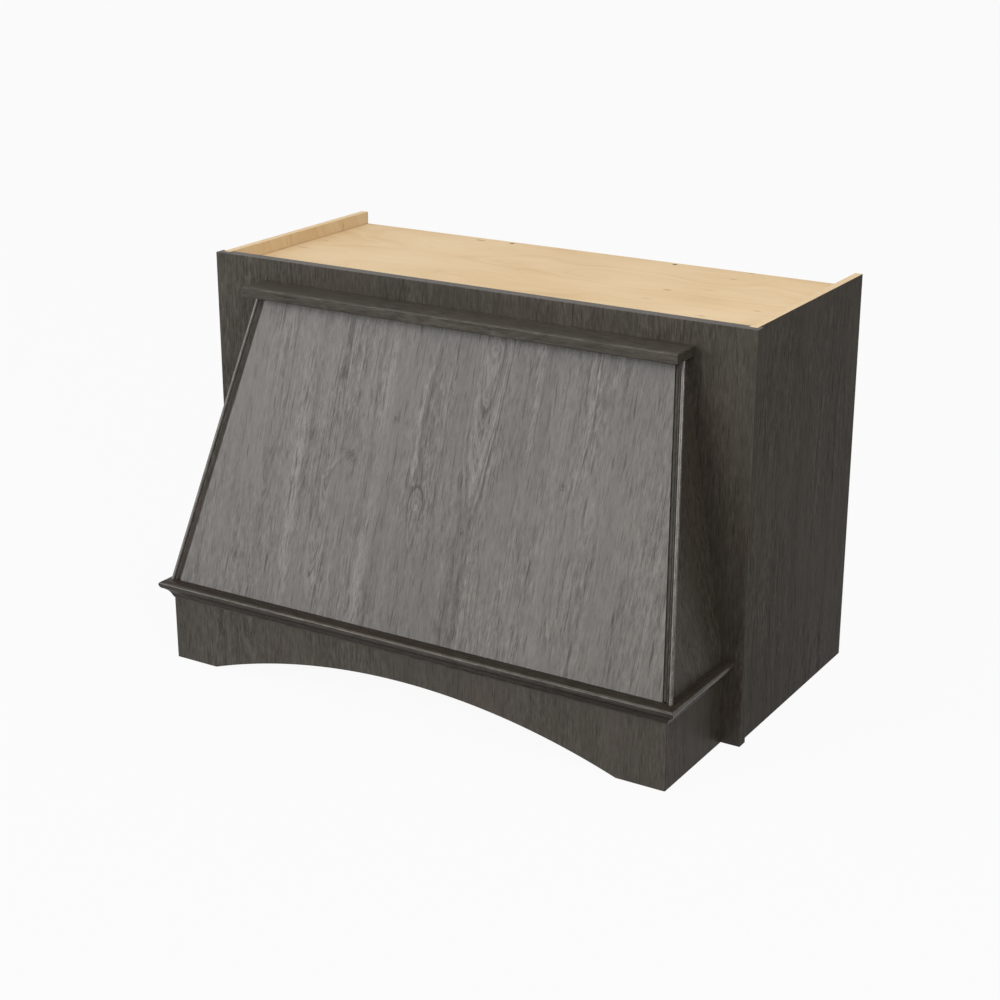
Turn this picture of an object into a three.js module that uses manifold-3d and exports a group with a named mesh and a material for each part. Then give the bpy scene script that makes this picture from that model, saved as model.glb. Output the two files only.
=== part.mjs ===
// Wooden range hood cover: a wall box that is 36 in wide and 24 in high, with a
// tapered canopy, a moulded band and an arched apron planted on its face panel.
// Millimetres. +Z is up, +X is to the right seen from the front, -Y is the front.
// The construction puts Y = 0 at the face panel's front and Z = 0 at the bottom
// edges; the finished group is shifted so that the origin is below its middle.

import * as THREE from 'three';
import { mergeVertices } from 'three/addons/utils/BufferGeometryUtils.js';
import Module from 'manifold-3d';

// ---- Driving dimensions ----

// Fits
const jointGap = 0.3; // glue line or clearance between two pieces that touch
const cleatMargin = 2; // from a cleat to the edge of the opening beside it
const cutterRun = 1; // cutters run this far past what they cut

// Wall box
const faceWidth = 914.4;
const faceHeight = 609.6;
const faceThickness = 18;
const faceOverhang = 6; // face panel past each side panel
const boxDepth = 381; // from the face panel's front to the wall
const sideThickness = 12;
const dadoDepth = 6; // side panels in the face, deck in sides and face
const deckRecess = 20; // deck's top below the top edges
const deckThickness = 12;
const railThickness = 18;
const railHeight = 90;

// Ledges and rails that a ventilator insert is screwed to from below
const insertCover = 17.6; // their underside above the arch's crown
const ledgeThickness = 18;
const insertRailHeight = 38;

// Apron
const apronInset = 29.5; // from each end of the face panel
const apronProjection = 174.6; // in front of the face panel
const apronHeight = 118.5;
const apronThickness = 18;
const apronFoot = 76.2; // flat end of the bottom edge, outside the arch
const archRise = 58.6;
const archSegments = 64;

// Canopy
const canopyTaper = 73.4; // each side, from the apron up to the cap board
const canopyTopProjection = 18.6; // sloped panel's front, under the cap board
const canopyPanelThickness = 12;
const cleatSize = 18;
const cleatEndGap = 3; // from the end of an apron cleat to the edge it stops at
const nailerHeight = 60;
const openingDrop = 100.6; // face panel's opening, from the cap board down to its top

// Cap board
const capDrop = 33.1; // cap's top below the face panel's top
const capThickness = 15.9;
const capEndOverhang = 11.7; // past the canopy sides
const capFrontOverhang = 33.8; // past the sloped panel
const capEase = 1.5; // eased edges

// Base moulding, in section: nose over a cove over a lip
const mouldingLap = 11.25; // over the foot of the canopy
const mouldingHeight = 28;
const noseProjection = 17;
const noseDrop = 4.75; // from the top down to the nose's furthest point
const noseDepth = 8.5; // from there down to the fillet
const noseInset = 7.3; // from the nose's furthest point back to the fillet
const ledgeWidth = 7.5; // flat top in front of the apron's plane
const filletHeight = 1.4;
const filletStep = 0.8;
const lipHeight = 2.2;
const lipProjection = 1.2;
const coveSag = 0.9; // hollow of the cove below its chord
const mouldingArcSegments = 8;

// Corner moulding, in section: two equal legs, each with a groove and a quarter
// round that rises from it, and a proud bead on the corner
const cornerLeg = 12.5; // from the bead's centre to a leg's edge
const grooveDepth = 2.4;
const ovoloRun = 4.6; // the quarter round, from the groove to its crest
const ovoloRise = 4.4;
const ovoloCrest = 4.6; // from the bead's centre
const quirkDepth = 0.4;
const quirkInset = 0.1; // quirk under the bead's edge
const beadRadius = 3.1;
const beadOut = 5; // bead's centre outside the canopy side's outer plane
const beadProud = 0.9; // bead's centre in front of the sloped panel's plane
const ovoloWrap = 100; // degrees of the quarter round, from the groove
const beadWrap = 310; // degrees of the bead's round, centred on the corner
const cornerArcSegments = 8;

// Screws through the deck into the top hanging rail
const screwSpacing = 295;
const screwLength = 38;
const screwHeadRadius = 3.9;
const screwHeadHeight = 3;
const screwShankRadius = 2;
const screwTipLength = 6;
const screwTipRadius = 0.4;
const screwSink = 0.2; // head below the deck's top
const screwSegments = 20;

// ---- Sizes and places that follow from them ----

const faceHalf = faceWidth / 2;
const boxHalf = faceHalf - faceOverhang; // outside of the side panels
const boxInnerHalf = boxHalf - sideThickness;
const deckTop = faceHeight - deckRecess;
const deckBottom = deckTop - deckThickness;
const apronHalf = faceHalf - apronInset;
const apronInnerHalf = apronHalf - apronThickness;
const capTop = faceHeight - capDrop;
const capBottom = capTop - capThickness;
const openingTop = capBottom - openingDrop;
const insertHeight = archRise + insertCover;
const mouldingTop = apronHeight + mouldingLap;
const canopyBottom = apronHeight + jointGap;
const canopyTop = capBottom - jointGap;

const frontLean = (apronProjection - canopyTopProjection) / (capBottom - apronHeight);
const sideLean = canopyTaper / (capBottom - apronHeight);
const frontPanelRun = canopyPanelThickness * Math.hypot(1, frontLean); // level thickness
const sidePanelRun = canopyPanelThickness * Math.hypot(1, sideLean);

// Y of the sloped panel's front and X of the canopy side's outside, at a height
const slopeY = (z) => frontLean * (z - apronHeight) - apronProjection;
const slopeHeight = (y) => apronHeight + (y + apronProjection) / frontLean;
const canopySideX = (z) => apronHalf - sideLean * (z - apronHeight);

const openingBottomHalf = apronInnerHalf - cleatSize - jointGap - cleatMargin;
const openingTopHalf =
  canopySideX(openingTop) - sidePanelRun - cleatSize - jointGap - cleatMargin;

// ---- Geometry helpers ----

const at = (x, y) => new THREE.Vector2(x, y);
const point = (x, y, z) => new THREE.Vector3(x, y, z);

const wasm = await Module();
wasm.setup();

/** Box between two corners. */
function board(low, high) {
  const size = point(...high).sub(point(...low));
  const centre = point(...low).addScaledVector(size, 0.5);
  return new THREE.BoxGeometry(size.x, size.y, size.z).translate(centre.x, centre.y, centre.z);
}

/**
 * Solid skinned over matched rings of points. The section is the rings' outline
 * in 2D, anticlockwise seen from the last ring. Side -1 gives its mirror image.
 */
function loft(section, rings, side = 1) {
  const count = section.length;
  const order = section.map((_, index) => (side > 0 ? index : count - 1 - index));
  const outline = order.map((index) => at(side * section[index].x, section[index].y));
  const positions = rings.flatMap((ring) =>
    order.flatMap((index) => [side * ring[index].x, ring[index].y, ring[index].z]));
  const last = (rings.length - 1) * count;
  const faces = [];
  for (const [a, b, c] of THREE.ShapeUtils.triangulateShape(outline, [])) {
    faces.push(a, c, b, last + a, last + b, last + c);
  }
  for (let start = 0; start < last; start += count) {
    for (let index = 0; index < count; index += 1) {
      const a = start + index;
      const b = start + (index + 1) % count;
      faces.push(a, b, b + count, a, b + count, a + count);
    }
  }
  const geometry = new THREE.BufferGeometry();
  geometry.setAttribute('position', new THREE.Float32BufferAttribute(positions, 3));
  geometry.setIndex(faces);
  return geometry;
}

/** Loft over level outlines: each level is [height, outline]. */
function levelLoft(levels, side = 1) {
  const rings = levels.map(([z, outline]) => outline.map((p) => point(p.x, p.y, z)));
  return loft(levels[0][1], rings, side);
}

/** Rectangle as an anticlockwise outline. */
function rectangle(x0, y0, x1, y1) {
  return [at(x0, y0), at(x1, y0), at(x1, y1), at(x0, y1)];
}

/** Points of an elliptical arc, in degrees, both ends included. */
function arc(centreX, centreY, radiusX, radiusY, startAngle, endAngle, segments) {
  return Array.from({ length: segments + 1 }, (_, index) => {
    const angle = THREE.MathUtils.degToRad(
      THREE.MathUtils.lerp(startAngle, endAngle, index / segments));
    return at(centreX + radiusX * Math.cos(angle), centreY + radiusY * Math.sin(angle));
  });
}

/** A geometry as a solid that can be cut. */
function toSolid(geometry) {
  const bare = geometry.clone();
  bare.deleteAttribute('normal');
  bare.deleteAttribute('uv');
  const merged = mergeVertices(bare);
  const corners = Array.from(merged.index.array);
  const triVerts = [];
  for (let index = 0; index < corners.length; index += 3) {
    const [a, b, c] = corners.slice(index, index + 3);
    if (a !== b && b !== c && c !== a) triVerts.push(a, b, c);
  }
  return new wasm.Manifold(new wasm.Mesh({
    numProp: 3,
    vertProperties: merged.attributes.position.array,
    triVerts: Uint32Array.from(triVerts),
  }));
}

/** The geometry with each of the tools' volumes removed. */
function cut(geometry, tools) {
  const result = tools.reduce((solid, tool) => solid.subtract(toSolid(tool)), toSolid(geometry));
  const mesh = result.getMesh();
  const cutGeometry = new THREE.BufferGeometry();
  cutGeometry.setAttribute(
    'position', new THREE.Float32BufferAttribute(mesh.vertProperties, mesh.numProp));
  cutGeometry.setIndex(Array.from(mesh.triVerts));
  return cutGeometry;
}

// ---- Wall box ----

/** Front panel: opening behind the canopy, dadoes for the sides and the deck. */
function facePanel() {
  const outline = [
    at(-faceHalf, 0), at(-openingBottomHalf, 0),
    at(-openingTopHalf, openingTop), at(openingTopHalf, openingTop),
    at(openingBottomHalf, 0), at(faceHalf, 0),
    at(faceHalf, faceHeight), at(-faceHalf, faceHeight),
  ];
  const ring = (y) => outline.map((p) => point(p.x, y, p.y));
  const panel = loft(outline, [ring(faceThickness), ring(0)]);
  const dadoFloor = faceThickness - dadoDepth;
  const sideDadoes = [-1, 1].map((side) => {
    const edges = [side * (boxInnerHalf - jointGap), side * (boxHalf + jointGap)];
    return board(
      [Math.min(...edges), dadoFloor, -cutterRun],
      [Math.max(...edges), faceThickness + cutterRun, faceHeight + cutterRun]);
  });
  const deckDado = board(
    [-boxInnerHalf, dadoFloor, deckBottom - jointGap],
    [boxInnerHalf, faceThickness + cutterRun, deckTop + jointGap]);
  return cut(panel, [...sideDadoes, deckDado]);
}

/** Box side, housed in the face panel's back, with a dado for the deck. */
function sidePanel(side) {
  const outer = side * boxHalf;
  const inner = side * boxInnerHalf;
  const dadoFloor = side * (boxInnerHalf + dadoDepth);
  const front = faceThickness - dadoDepth + jointGap;
  const panel = board(
    [Math.min(outer, inner), front, 0], [Math.max(outer, inner), boxDepth, faceHeight]);
  const mouth = inner - side * cutterRun;
  const dado = board(
    [Math.min(mouth, dadoFloor), front - cutterRun, deckBottom - jointGap],
    [Math.max(mouth, dadoFloor), boxDepth + cutterRun, deckTop + jointGap]);
  return cut(panel, [dado]);
}

/** Countersunk screw on the Z axis with its head's top at Z = 0, or its hole. */
function screwShape(clearance) {
  const head = screwHeadRadius + clearance;
  const shank = screwShankRadius + clearance;
  const end = -screwLength - clearance;
  const rim = clearance > 0 ? screwSink + cutterRun : 0; // a hole runs out above the deck
  const profile = [
    at(0, end), at(screwTipRadius + clearance, end), at(shank, end + screwTipLength),
    at(shank, -screwHeadHeight), at(head, 0),
  ];
  if (rim > 0) profile.push(at(head, rim));
  profile.push(at(0, rim));
  return new THREE.LatheGeometry(profile, screwSegments).rotateX(Math.PI / 2);
}

const screwX = (side) => side * screwSpacing / 2;
const screwY = boxDepth - railThickness / 2;
const screwZ = deckTop - screwSink;
const screwHoles = () =>
  [-1, 1].map((side) => screwShape(jointGap).translate(screwX(side), screwY, screwZ));

/** Top deck, in the dadoes of the sides and the face, with the screw holes. */
function topDeck() {
  const half = boxInnerHalf + dadoDepth - jointGap;
  const front = faceThickness - dadoDepth + jointGap;
  return cut(board([-half, front, deckBottom], [half, boxDepth, deckTop]), screwHoles());
}

/** Rail across the back, between the side panels. */
function hangingRail(bottom) {
  const half = boxInnerHalf - jointGap;
  return board([-half, boxDepth - railThickness, bottom], [half, boxDepth, bottom + railHeight]);
}

function topHangingRail() {
  return cut(hangingRail(deckBottom - jointGap - railHeight), screwHoles());
}

/** Flat ledge on a side panel, out to the line of the face panel's opening. */
function insertLedge(side) {
  const edges = [side * (boxInnerHalf - jointGap), side * openingBottomHalf];
  return board(
    [Math.min(...edges), faceThickness + jointGap, insertHeight],
    [Math.max(...edges), boxDepth - railThickness - jointGap, insertHeight + ledgeThickness]);
}

// ---- Apron ----

/** Bottom edge of the apron: flat feet and a circular arch between them. */
function archPoints() {
  const half = apronHalf - apronFoot;
  const radius = (half * half + archRise * archRise) / (2 * archRise);
  const reach = THREE.MathUtils.radToDeg(Math.asin(half / radius));
  return arc(0, archRise - radius, radius, radius, 90 + reach, 90 - reach, archSegments);
}

/** Arched front board, mitred at both ends. */
function apronFront() {
  const outline = [
    at(-apronHalf, 0), ...archPoints(), at(apronHalf, 0),
    at(apronHalf, apronHeight), at(-apronHalf, apronHeight),
  ];
  const ring = (depth) => outline.map((p) => {
    const x = Math.abs(p.x) === apronHalf ? Math.sign(p.x) * (apronHalf - depth) : p.x;
    return point(x, depth - apronProjection, p.y);
  });
  return loft(outline, [ring(apronThickness), ring(0)]);
}

/** Side board from the front board's mitre back to the face panel. */
function apronReturn(side) {
  const mitreGap = jointGap * Math.SQRT2;
  const outline = [
    at(apronHalf, mitreGap - apronProjection), at(apronHalf, -jointGap),
    at(apronInnerHalf, -jointGap),
    at(apronInnerHalf, apronThickness + mitreGap - apronProjection),
  ];
  return levelLoft([[0, outline], [apronHeight, outline]], side);
}

/** Square strip inside an apron corner, from one Y to another. */
function apronStrip(side, yFront, yBack, zBottom, zTop) {
  const outer = apronInnerHalf - jointGap;
  const outline = rectangle(outer - cleatSize, yFront, outer, yBack);
  return levelLoft([[zBottom, outline], [zTop, outline]], side);
}

const apronInnerY = apronThickness + jointGap - apronProjection;
const stripTop = apronHeight - cleatEndGap;

const apronCornerBlock = (side) =>
  apronStrip(side, apronInnerY, apronInnerY + cleatSize, cleatEndGap, stripTop);

const apronReturnCleat = (side) =>
  apronStrip(side, -jointGap - cleatSize, -jointGap, cleatEndGap, stripTop);

/** Rail on the return, between its corner block and its cleat. */
const insertRailSide = (side) => apronStrip(
  side, apronInnerY + cleatSize + jointGap, -cleatSize - 2 * jointGap,
  insertHeight, insertHeight + insertRailHeight);

/** Rail behind the apron's front board, between the corner blocks. */
function insertRailFront() {
  const half = apronInnerHalf - cleatSize - 2 * jointGap;
  return board(
    [-half, apronInnerY, insertHeight],
    [half, apronInnerY + cleatSize, insertHeight + insertRailHeight]);
}

// ---- Canopy ----

/** Loft that follows the canopy's taper, from an outline given at each height. */
const canopyLoft = (zBottom, zTop, outlineAt, side = 1) =>
  levelLoft([[zBottom, outlineAt(zBottom)], [zTop, outlineAt(zTop)]], side);

/** Sloped front panel, between the corner mouldings. */
function canopyFront() {
  return canopyLoft(canopyBottom, canopyTop, (z) => {
    const half = canopySideX(z) + beadOut - cornerLeg - jointGap;
    return rectangle(-half, slopeY(z), half, slopeY(z) + frontPanelRun);
  });
}

/** Canopy side, from the corner moulding back to the face panel. */
function canopySide(side) {
  return canopyLoft(canopyBottom, canopyTop, (z) => rectangle(
    canopySideX(z) - sidePanelRun, slopeY(z) + frontPanelRun + jointGap,
    canopySideX(z), -jointGap), side);
}

/**
 * Outline of the corner moulding, in plan: X outwards from the canopy side's
 * plane, Y backwards from the sloped panel's. Both legs have the same section,
 * given as distance from the bead's centre and height over the leg's face.
 */
function cornerOutline() {
  const leg = [
    at(cornerLeg, -grooveDepth),
    ...arc(ovoloCrest, -grooveDepth, ovoloRun, ovoloRise, 0, ovoloWrap, cornerArcSegments),
    at(beadRadius - quirkInset, -quirkDepth),
  ];
  const frontLeg = leg.map((p) => at(beadOut - p.x, -p.y));
  const sideLeg = leg.map((p) => at(beadOut - beadProud + p.y, p.x - beadProud)).reverse();
  const cornerAngle = 315; // halfway between the two legs' faces
  const bead = arc(beadOut, -beadProud, beadRadius, beadRadius,
    cornerAngle - beadWrap / 2, cornerAngle + beadWrap / 2, 3 * cornerArcSegments);
  const sideFloor = beadOut - beadProud - grooveDepth;
  return [
    at(beadOut - cornerLeg, frontPanelRun), ...frontLeg, ...bead, ...sideLeg,
    at(sideFloor, frontPanelRun),
  ];
}

/** Corner moulding, from the base moulding's ledge up to the cap board. */
function cornerMoulding(side) {
  const outline = cornerOutline();
  return canopyLoft(mouldingTop + jointGap, canopyTop, (z) =>
    outline.map((p) => at(p.x + canopySideX(z), p.y + slopeY(z))), side);
}

// X range of a cleat along the inside of the canopy's side
const sideCleatOuter = (z) => canopySideX(z) - sidePanelRun - jointGap;
const sideCleatInner = (z) => sideCleatOuter(z) - cleatSize;
const slopeInnerY = (z) => slopeY(z) + frontPanelRun + jointGap;

/** Cleat in the corner between the sloped panel and the canopy side. */
function canopyCornerCleat(side) {
  const top = slopeHeight(-2 * cleatSize - 3 * jointGap - frontPanelRun);
  return canopyLoft(canopyBottom, top, (z) => rectangle(
    sideCleatInner(z), slopeInnerY(z), sideCleatOuter(z), slopeInnerY(z) + cleatSize), side);
}

/** Cleat on the face panel that the canopy side is fixed to. */
function canopySideCleat(side) {
  const top = slopeHeight(-cleatSize - 2 * jointGap - frontPanelRun);
  return canopyLoft(canopyBottom, top, (z) => rectangle(
    sideCleatInner(z), -jointGap - cleatSize, sideCleatOuter(z), -jointGap), side);
}

/** Bevelled nailer above the opening, behind the top of the sloped panel. */
function canopyNailer() {
  const bottom = openingTop + cleatMargin;
  return canopyLoft(bottom, bottom + nailerHeight, (z) => {
    const half = sideCleatInner(z) - jointGap;
    return rectangle(-half, slopeInnerY(z), half, -jointGap);
  });
}

/** Board over the canopy, eased along its front and ends. */
function capBoard() {
  const half = canopySideX(capBottom) + capEndOverhang;
  const front = slopeY(capBottom) - capFrontOverhang;
  const outline = (ease) => rectangle(ease - half, front + ease, half - ease, -jointGap);
  return levelLoft([
    [capBottom, outline(capEase)], [capBottom + capEase, outline(0)],
    [capTop - capEase, outline(0)], [capTop, outline(capEase)],
  ]);
}

// ---- Base moulding ----

/** Section of the base moulding: X out from the apron, Y up. */
function bandSection(panelLean) {
  const bottom = mouldingTop - mouldingHeight;
  const noseHeight = mouldingTop - noseDrop;
  const filletOut = noseProjection - noseInset;
  const filletTop = noseHeight - noseDepth;
  const coveStart = at(lipProjection + filletStep, bottom + lipHeight);
  const coveEnd = at(filletOut - filletStep, filletTop - filletHeight);
  const coveMiddle = at((coveStart.x + coveEnd.x) / 2, (coveStart.y + coveEnd.y) / 2);
  const inwards = at(coveStart.y - coveEnd.y, coveEnd.x - coveStart.x).setLength(2 * coveSag);
  const cove = new THREE.QuadraticBezierCurve(coveStart, coveMiddle.add(inwards), coveEnd);
  return [
    at(jointGap, bottom), at(lipProjection, bottom), at(lipProjection, bottom + lipHeight),
    ...cove.getPoints(mouldingArcSegments), at(filletOut, coveEnd.y),
    ...arc(filletOut, noseHeight, noseInset, noseDepth, -90, 0, mouldingArcSegments),
    ...arc(ledgeWidth, noseHeight, noseProjection - ledgeWidth, noseDrop,
      0, 90, mouldingArcSegments).slice(1),
    at(jointGap - panelLean * (mouldingTop - apronHeight), mouldingTop),
    at(jointGap, apronHeight),
  ];
}

/** Moulding across the apron's front, mitred at both ends. */
function baseMouldingFront() {
  const section = bandSection(frontLean);
  const mitre = (side) => section.map((p) =>
    point(side * (apronHalf + p.x), -apronProjection - p.x, p.y));
  return loft(section, [mitre(1), mitre(-1)]);
}

/** Moulding along the apron's return, from the face panel to its mitre. */
function baseMouldingReturn(side) {
  const section = bandSection(sideLean);
  const mitreGap = jointGap * Math.SQRT2;
  const faceEnd = section.map((p) => point(apronHalf + p.x, -jointGap, p.y));
  const mitre = section.map((p) =>
    point(apronHalf + p.x, mitreGap - apronProjection - p.x, p.y));
  return loft(section, [faceEnd, mitre], side);
}

// ---- Assembly ----

const finishes = {
  stainedOak: { color: 0x4a4540, roughness: 0.5, metalness: 0 },
  maplePly: { color: 0xd9bd93, roughness: 0.55, metalness: 0 },
  poplar: { color: 0xcdb78f, roughness: 0.7, metalness: 0 },
  blackSteel: { color: 0x2b2927, roughness: 0.4, metalness: 0.7 },
};

function piece(name, geometry, finish) {
  if (!geometry.attributes.normal) geometry.computeVertexNormals();
  const mesh = new THREE.Mesh(geometry, new THREE.MeshStandardMaterial(finishes[finish]));
  mesh.name = name;
  return mesh;
}

/** A left and a right piece of the same kind. */
const pair = (name, build, finish) => [
  piece(`${name}_left`, build(-1), finish),
  piece(`${name}_right`, build(1), finish),
];

function group(...pieces) {
  return new THREE.Group().add(...pieces.flat());
}

function deckScrew(side) {
  const screw = piece(side < 0 ? 'deck_screw_left' : 'deck_screw_right',
    screwShape(0), 'blackSteel');
  screw.position.set(screwX(side), screwY, screwZ);
  return screw;
}

const wallBox = group(
  piece('face_panel', facePanel(), 'stainedOak'),
  pair('side_panel', sidePanel, 'maplePly'),
  piece('top_deck', topDeck(), 'maplePly'),
  piece('top_hanging_rail', topHangingRail(), 'poplar'),
  piece('bottom_hanging_rail', hangingRail(insertHeight), 'poplar'),
  deckScrew(-1),
  deckScrew(1),
);

const insertSupports = group(
  pair('insert_ledge', insertLedge, 'poplar'),
  pair('insert_rail', insertRailSide, 'poplar'),
  piece('insert_rail_front', insertRailFront(), 'poplar'),
);

const apron = group(
  piece('apron_front', apronFront(), 'stainedOak'),
  pair('apron_return', apronReturn, 'stainedOak'),
  pair('apron_corner_block', apronCornerBlock, 'poplar'),
  pair('apron_return_cleat', apronReturnCleat, 'poplar'),
);

const canopy = group(
  piece('canopy_front_panel', canopyFront(), 'stainedOak'),
  pair('canopy_side_panel', canopySide, 'stainedOak'),
  pair('corner_moulding', cornerMoulding, 'stainedOak'),
  piece('cap_board', capBoard(), 'stainedOak'),
  pair('canopy_corner_cleat', canopyCornerCleat, 'poplar'),
  pair('canopy_side_cleat', canopySideCleat, 'poplar'),
  piece('canopy_nailer', canopyNailer(), 'poplar'),
);

const baseMoulding = group(
  piece('base_moulding_front', baseMouldingFront(), 'stainedOak'),
  pair('base_moulding', baseMouldingReturn, 'stainedOak'),
);

const hoodCover = group(wallBox, insertSupports, apron, canopy, baseMoulding);
const depthMiddle = (boxDepth - apronProjection - noseProjection) / 2;
hoodCover.position.y = -depthMiddle;

export default hoodCover;
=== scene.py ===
import math

import bmesh
import bpy
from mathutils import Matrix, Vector


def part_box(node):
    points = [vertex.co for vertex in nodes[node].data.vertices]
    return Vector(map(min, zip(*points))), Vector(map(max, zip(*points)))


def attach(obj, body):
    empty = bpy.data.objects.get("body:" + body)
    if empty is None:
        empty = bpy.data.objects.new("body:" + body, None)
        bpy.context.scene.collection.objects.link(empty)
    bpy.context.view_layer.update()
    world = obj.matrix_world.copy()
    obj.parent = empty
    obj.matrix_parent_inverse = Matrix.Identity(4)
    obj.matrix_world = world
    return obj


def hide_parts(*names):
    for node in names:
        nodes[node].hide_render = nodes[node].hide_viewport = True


# Wooden range hood cover: stained oak planted on a maple plywood wall box.
# Metres, in the frame of the CAD model: +Z up, -Y the front, the floor at Z = 0.

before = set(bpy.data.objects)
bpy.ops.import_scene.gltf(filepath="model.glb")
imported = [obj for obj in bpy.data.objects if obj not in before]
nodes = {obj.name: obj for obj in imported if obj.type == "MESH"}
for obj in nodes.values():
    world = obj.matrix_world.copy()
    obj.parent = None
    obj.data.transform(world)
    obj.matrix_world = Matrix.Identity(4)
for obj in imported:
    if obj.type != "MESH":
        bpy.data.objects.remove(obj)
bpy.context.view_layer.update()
scene = bpy.context.scene
mm = 0.001
print("frame:", len(nodes), "nodes")


# Lines of the canopy, read from the corners of its front panel and right side

def cornerOf(name, *order):
    points = [vertex.co for vertex in nodes[name].data.vertices]
    return min(points, key=lambda p: [round(sign * p[axis], 4) for axis, sign in order])


axisX, axisY, axisZ = 0, 1, 2
panelFoot = cornerOf("canopy_front_panel", (axisZ, 1), (axisY, 1), (axisX, -1))
panelHead = cornerOf("canopy_front_panel", (axisZ, -1), (axisY, 1), (axisX, -1))
sideFoot = cornerOf("canopy_side_panel_right", (axisZ, 1), (axisX, -1), (axisY, 1))
panelRise = panelHead.z - panelFoot.z
frontLean = (panelHead.y - panelFoot.y) / panelRise  # backwards for each metre up
sideLean = (panelFoot.x - panelHead.x) / panelRise  # inwards for each metre up
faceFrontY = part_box("face_panel")[0].y
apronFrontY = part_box("apron_front")[0].y
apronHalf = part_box("apron_front")[1].x
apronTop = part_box("apron_front")[1].z
mouldingLap = 11.25 * mm  # the base moulding's height above the apron


# Small helpers for node trees

def feed(tree, socket, value):
    if isinstance(value, bpy.types.NodeSocket):
        tree.links.new(value, socket)
    else:
        socket.default_value = value


def addNode(tree, kind, inputs, **settings):
    node = tree.nodes.new(kind)
    for name, value in settings.items():
        setattr(node, name, value)
    for name, value in inputs.items():
        feed(tree, node.inputs[name], value)
    return node.outputs


def addMath(tree, operation, *values):
    return addNode(tree, "ShaderNodeMath", dict(enumerate(values)), operation=operation)[0]


def plus(tree, first, second):
    return addMath(tree, "ADD", first, second)


def minus(tree, first, second):
    return addMath(tree, "SUBTRACT", first, second)


def times(tree, first, second):
    return addMath(tree, "MULTIPLY", first, second)


def timesPlus(tree, first, second, third):
    return addMath(tree, "MULTIPLY_ADD", first, second, third)


def swing(tree, value, amount):  # a value from 0 to 1, swung about zero
    return times(tree, minus(tree, value, 0.5), amount)


def addVectorMath(tree, operation, *values):
    made = addNode(tree, "ShaderNodeVectorMath", dict(enumerate(values)), operation=operation)
    return made["Value" if operation in ("LENGTH", "DOT_PRODUCT") else "Vector"]


def drawnOut(tree, vector, squeeze):  # what is squeezed here comes out long, along the grain
    return addVectorMath(tree, "MULTIPLY", vector, (1.0, 1.0, squeeze))


def addRemap(tree, value, low, high, newLow=0.0, newHigh=1.0, smooth=False):
    ends = dict(enumerate((value, low, high, newLow, newHigh)))
    kind = "SMOOTHSTEP" if smooth else "LINEAR"
    return addNode(tree, "ShaderNodeMapRange", ends, interpolation_type=kind)["Result"]


def addNoise(tree, place, scale, detail=2.0, roughness=0.5, line=False):
    return addNode(tree, "ShaderNodeTexNoise",
                   {"W" if line else "Vector": place, "Scale": scale, "Detail": detail,
                    "Roughness": roughness}, noise_dimensions="1D" if line else "3D")[0]


def addColourMix(tree, factor, first, second):
    colours = {6: first, 7: (*second, 1.0)}
    return addNode(tree, "ShaderNodeMix", {0: factor, **colours}, data_type="RGBA")[2]


def addRamp(tree, factor, stops):
    node = tree.nodes.new("ShaderNodeValToRGB")
    elements = node.color_ramp.elements
    while len(elements) < len(stops):
        elements.new(0.5)
    for element, (place, colour) in zip(elements, stops):
        element.position = place
        element.color = (*colour, 1.0)
    feed(tree, node.inputs["Fac"], factor)
    return node.outputs["Color"]


def addGroup(tree, group, **values):
    node = tree.nodes.new(tree.bl_idname.replace("Tree", "Group"))
    node.node_tree = group
    for name, value in values.items():
        feed(tree, node.inputs[name], value)
    return node.outputs


def newGroup(name, kind, inputs, outputs, made="Float"):
    tree = bpy.data.node_groups.new(name, kind)
    for socketName, value in inputs.items():  # a number, or the socket's type
        typed = isinstance(value, str)
        socket = tree.interface.new_socket(socketName, in_out="INPUT",
                                           socket_type="NodeSocket" + (value if typed else "Float"))
        if not typed:
            socket.default_value = value
    for socketName in outputs:
        tree.interface.new_socket(socketName, in_out="OUTPUT", socket_type="NodeSocket" + made)
    given = tree.nodes.new("NodeGroupInput")
    result = tree.nodes.new("NodeGroupOutput")
    return tree, given.outputs, result.inputs


def newMaterial(name):
    material = bpy.data.materials.new(name)
    material.use_nodes = True
    tree = material.node_tree
    return material, tree, tree.nodes["Principled BSDF"]


def objectPlace(tree):
    return tree.nodes.new("ShaderNodeTexCoord").outputs["Object"]


def boardSpace(tree, turn, shift):  # object coordinates, turned so that the grain runs along Z
    return addNode(tree, "ShaderNodeMapping",
                   {"Vector": objectPlace(tree), "Rotation": turn, "Location": shift})["Vector"]


def addBump(tree, shader, height, strength, distance):
    bump = addNode(tree, "ShaderNodeBump",
                   {"Strength": strength, "Distance": distance, "Height": height})
    feed(tree, shader.inputs["Normal"], bump["Normal"])


# Oak figure: growth lines are the contours of a field that rises across the board. A heart
# lifts the field along its middle, so that the lines come to nested points; at a knot they part

heartLook = {
    "tip": 0.000012,  # square metres, how softly the lines turn over at the middle
    "core": 0.15,  # share of the width that is lifted in full
    "entry": 0.25,  # share of the rise at which the lines are at their clearest
}


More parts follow.
